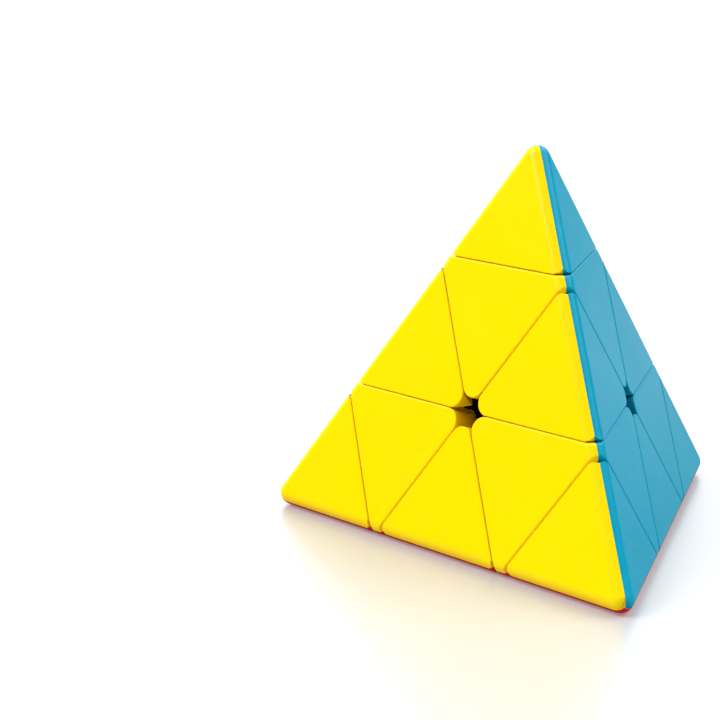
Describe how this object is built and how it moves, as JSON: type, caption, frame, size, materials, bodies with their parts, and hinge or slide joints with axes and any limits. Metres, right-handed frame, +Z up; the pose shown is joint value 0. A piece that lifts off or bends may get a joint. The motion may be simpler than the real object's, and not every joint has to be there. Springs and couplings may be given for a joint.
{
  "type": "pyramid twisty puzzle",
  "caption": "Four-sided pyramid turning puzzle: spring-loaded core, axial, edge and tip pieces with push-fit coloured caps, and a turning top layer and tips.",
  "frame": {"origin": "centre of the core ball, where the four turning axes meet, which is also the centroid of the pyramid", "axes": "+Z straight up along the top corner's turning axis, -Z out of the red base; -Y towards the front, where the yellow side is; +X to the right"},
  "size_m": [0.0966, 0.0842, 0.0797],
  "materials": {
    "yellow_cap_plastic": "solid-coloured glossy moulded plastic",
    "blue_cap_plastic": "solid-coloured glossy moulded plastic",
    "red_cap_plastic": "solid-coloured glossy moulded plastic",
    "green_cap_plastic": "solid-coloured glossy moulded plastic",
    "hub_plastic": "black moulded plastic, greased where it slides",
    "core_plastic": "black moulded plastic",
    "screw_steel": "zinc-plated steel",
    "spring_steel": "drawn spring wire"
  },
  "bodies": {
    "lower_block": {"core": "core_plastic", "axis_screws": "screw_steel", "axis_washers": "screw_steel", "axis_springs": "spring_steel", "left_axial_hub": "hub_plastic", "left_axial_collar": "hub_plastic", "left_axial_red_cap": "red_cap_plastic", "left_axial_green_cap": "green_cap_plastic", "left_axial_yellow_cap": "yellow_cap_plastic", "right_axial_hub": "hub_plastic", "right_axial_collar": "hub_plastic", "right_axial_red_cap": "red_cap_plastic", "right_axial_blue_cap": "blue_cap_plastic", "right_axial_yellow_cap": "yellow_cap_plastic", "back_axial_hub": "hub_plastic", "back_axial_collar": "hub_plastic", "back_axial_red_cap": "red_cap_plastic", "back_axial_blue_cap": "blue_cap_plastic", "back_axial_green_cap": "green_cap_plastic", "left_right_edge_foot": "hub_plastic", "left_right_edge_yellow_cap": "yellow_cap_plastic", "left_right_edge_red_cap": "red_cap_plastic", "right_back_edge_foot": "hub_plastic", "right_back_edge_blue_cap": "blue_cap_plastic", "right_back_edge_red_cap": "red_cap_plastic", "back_left_edge_foot": "hub_plastic", "back_left_edge_green_cap": "green_cap_plastic", "back_left_edge_red_cap": "red_cap_plastic"},
    "top_layer": {"top_axial_hub": "hub_plastic", "top_axial_collar": "hub_plastic", "top_axial_blue_cap": "blue_cap_plastic", "top_axial_green_cap": "green_cap_plastic", "top_axial_yellow_cap": "yellow_cap_plastic", "top_left_edge_foot": "hub_plastic", "top_left_edge_yellow_cap": "yellow_cap_plastic", "top_left_edge_green_cap": "green_cap_plastic", "top_right_edge_foot": "hub_plastic", "top_right_edge_blue_cap": "blue_cap_plastic", "top_right_edge_yellow_cap": "yellow_cap_plastic", "top_back_edge_foot": "hub_plastic", "top_back_edge_green_cap": "green_cap_plastic", "top_back_edge_blue_cap": "blue_cap_plastic"},
    "top_tip": {"top_tip_stem": "hub_plastic", "top_tip_blue_cap": "blue_cap_plastic", "top_tip_green_cap": "green_cap_plastic", "top_tip_yellow_cap": "yellow_cap_plastic"},
    "left_tip": {"left_tip_stem": "hub_plastic", "left_tip_red_cap": "red_cap_plastic", "left_tip_green_cap": "green_cap_plastic", "left_tip_yellow_cap": "yellow_cap_plastic"},
    "right_tip": {"right_tip_stem": "hub_plastic", "right_tip_red_cap": "red_cap_plastic", "right_tip_blue_cap": "blue_cap_plastic", "right_tip_yellow_cap": "yellow_cap_plastic"},
    "back_tip": {"back_tip_stem": "hub_plastic", "back_tip_red_cap": "red_cap_plastic", "back_tip_blue_cap": "blue_cap_plastic", "back_tip_green_cap": "green_cap_plastic"}
  },
  "joints": [
    {"name": "top_layer_turn", "type": "hinge", "parent": "lower_block", "child": "top_layer", "pos_m": [0, 0, 0], "axis": [0, 0, 1], "continuous": true},
    {"name": "top_tip_turn", "type": "hinge", "parent": "top_layer", "child": "top_tip", "pos_m": [0, 0, 0], "axis": [0, 0, 1], "continuous": true},
    {"name": "left_tip_turn", "type": "hinge", "parent": "lower_block", "child": "left_tip", "pos_m": [0, 0, 0], "axis": [-0.8165, -0.4714, -0.3333], "continuous": true},
    {"name": "right_tip_turn", "type": "hinge", "parent": "lower_block", "child": "right_tip", "pos_m": [0, 0, 0], "axis": [0.8165, -0.4714, -0.3333], "continuous": true},
    {"name": "back_tip_turn", "type": "hinge", "parent": "lower_block", "child": "back_tip", "pos_m": [0, 0, 0], "axis": [0, 0.9428, -0.3333], "continuous": true}
  ]
}
